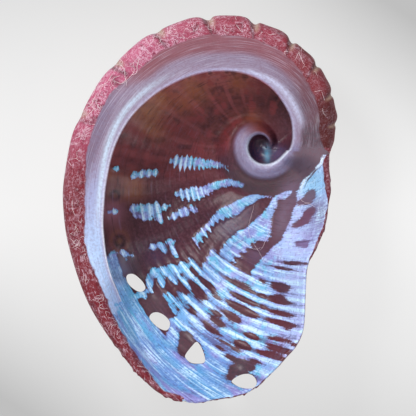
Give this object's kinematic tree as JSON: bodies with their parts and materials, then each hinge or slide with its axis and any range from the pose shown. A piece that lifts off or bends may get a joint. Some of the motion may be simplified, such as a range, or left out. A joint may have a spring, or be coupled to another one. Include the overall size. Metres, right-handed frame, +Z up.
{
  "type": "abalone shell",
  "caption": "Ear-shaped sea shell lying mouth up: a low coil that opens into a wide nacre-lined bowl with a flat shelf and a row of breathing holes",
  "frame": {"origin": "under the middle of the shell's outline, on the surface it lies on", "axes": "+Z up out of the mouth, +Y along the shell's length towards the coil, +X across it towards the side the outer lip starts on"},
  "size_m": [0.0422, 0.0598, 0.017],
  "materials": {
    "shell": "gloss"
  },
  "bodies": {
    "root": {"shell": "shell"}
  },
  "joints": []
}
